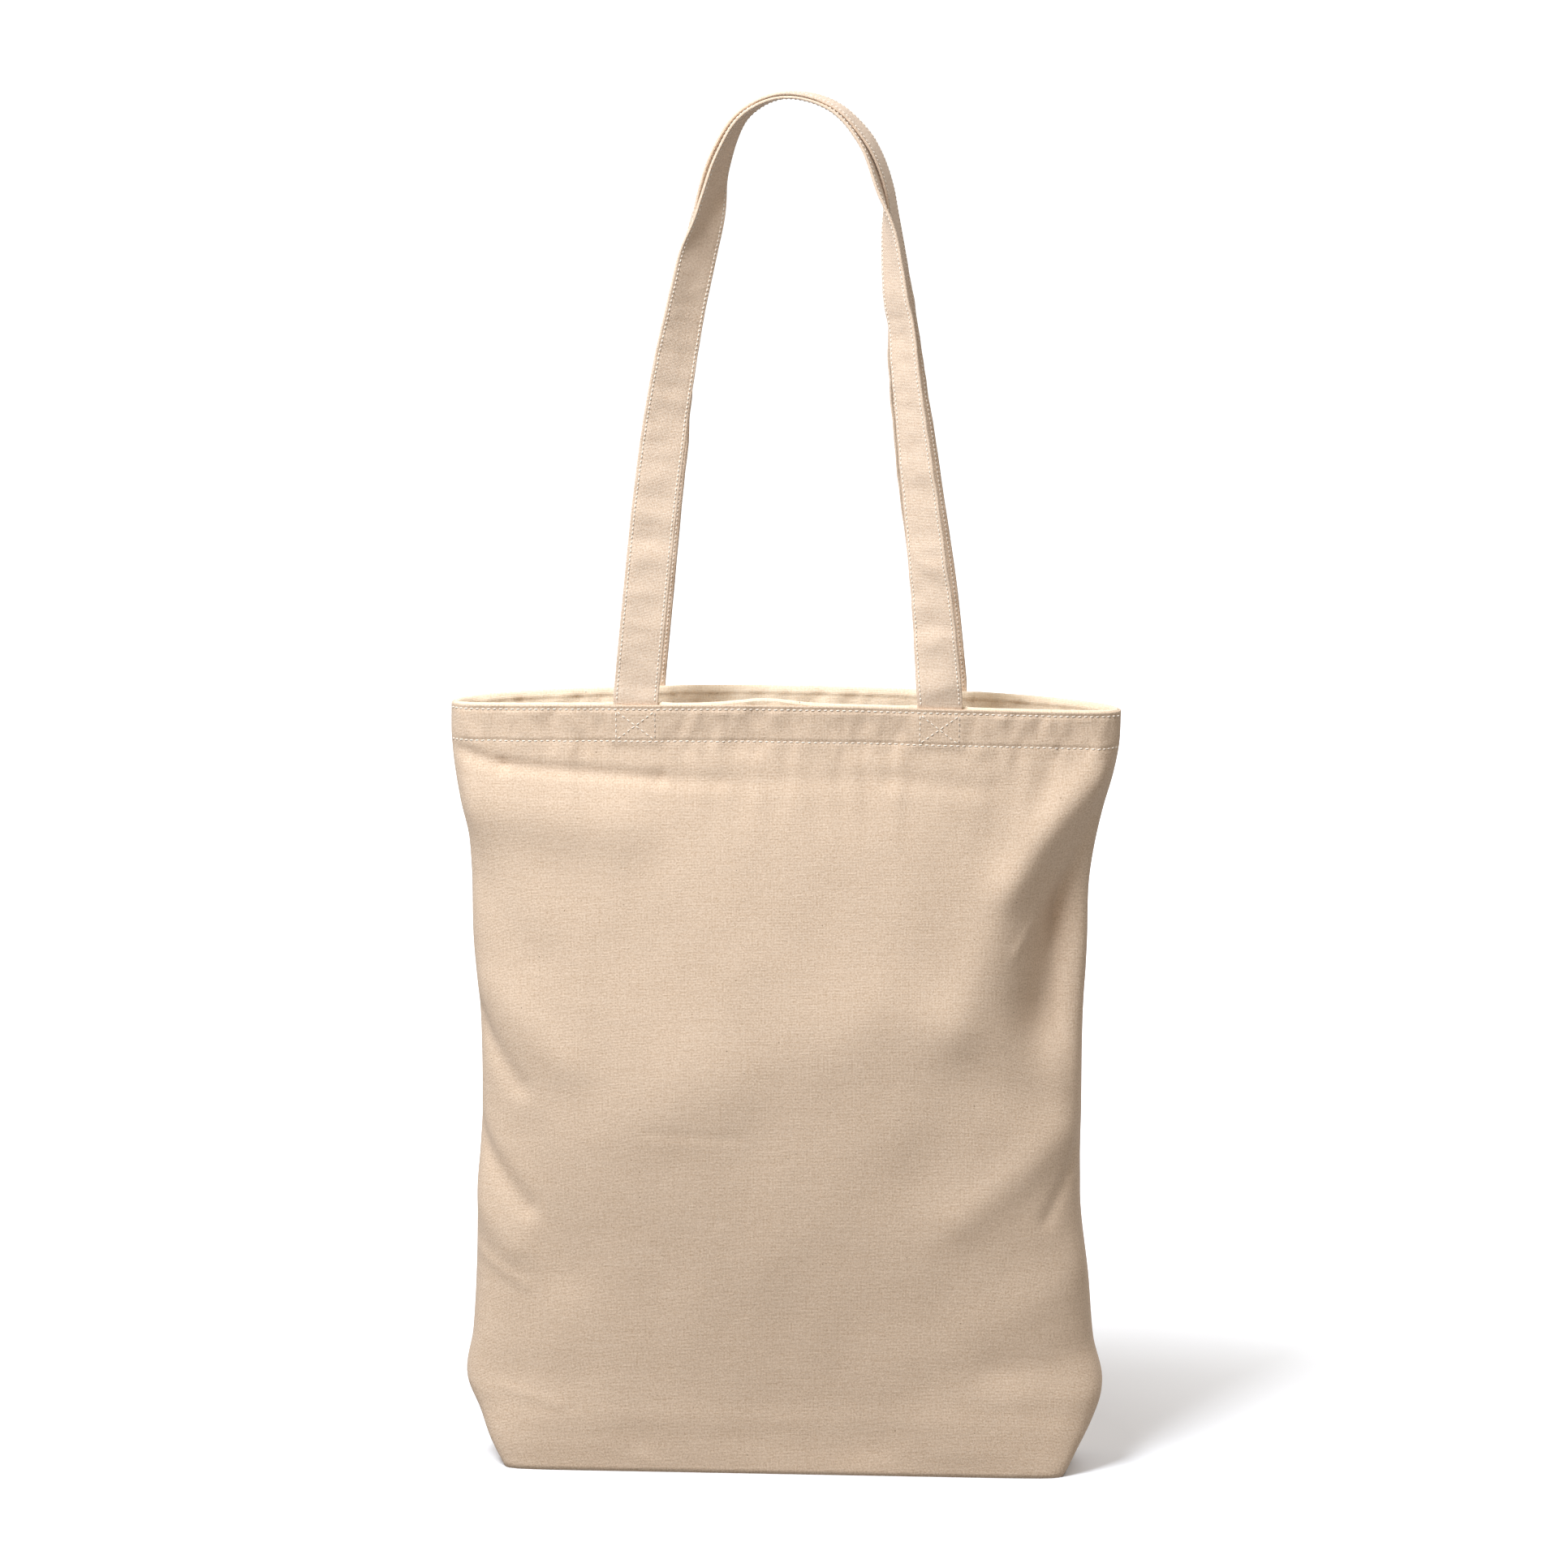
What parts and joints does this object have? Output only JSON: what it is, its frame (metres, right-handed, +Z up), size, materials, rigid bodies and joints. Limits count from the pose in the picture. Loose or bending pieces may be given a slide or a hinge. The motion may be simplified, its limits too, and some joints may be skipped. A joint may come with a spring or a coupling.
{
  "type": "canvas tote bag",
  "caption": "Open canvas tote bag that stands on a boxed base, with a stitched hem at the mouth and long strap handles that fold down outside the bag.",
  "frame": {"origin": "middle of the base, on the floor", "axes": "+Z up to the mouth and handles, the longest extent; +X across the bag from seam to seam; the front panel faces -Y"},
  "size_m": [0.37, 0.092, 0.7727],
  "materials": {
    "canvas": "unbleached plain-weave cotton canvas, matt",
    "strap": "folded strap of the same cotton canvas, matt",
    "thread": "ecru cotton sewing thread"
  },
  "bodies": {
    "bag": {"back_facing": "canvas", "back_handle_left_end": "strap", "back_handle_right_end": "strap", "back_hem_lower_stitching": "thread", "back_hem_upper_stitching": "thread", "back_left_box_stitching": "thread", "back_panel": "canvas", "back_right_box_stitching": "thread", "bottom_seam": "thread", "front_facing": "canvas", "front_handle_left_end": "strap", "front_handle_right_end": "strap", "front_hem_lower_stitching": "thread", "front_hem_upper_stitching": "thread", "front_left_box_stitching": "thread", "front_panel": "canvas", "front_right_box_stitching": "thread", "left_corner_seam": "thread", "left_side_seam": "thread", "right_corner_seam": "thread", "right_side_seam": "thread"},
    "front_handle": {"front_handle_loop": "strap", "front_handle_outer_stitching": "thread", "front_handle_inner_stitching": "thread"},
    "back_handle": {"back_handle_loop": "strap", "back_handle_outer_stitching": "thread", "back_handle_inner_stitching": "thread"}
  },
  "joints": [
    {"name": "front_handle_fold", "type": "hinge", "parent": "bag", "child": "front_handle", "pos_m": [0, -0.0272, 0.436], "axis": [1, 0, 0], "range_deg": [0, 165]},
    {"name": "back_handle_fold", "type": "hinge", "parent": "bag", "child": "back_handle", "pos_m": [0, 0.0272, 0.436], "axis": [-1, 0, 0], "range_deg": [0, 165]}
  ]
}
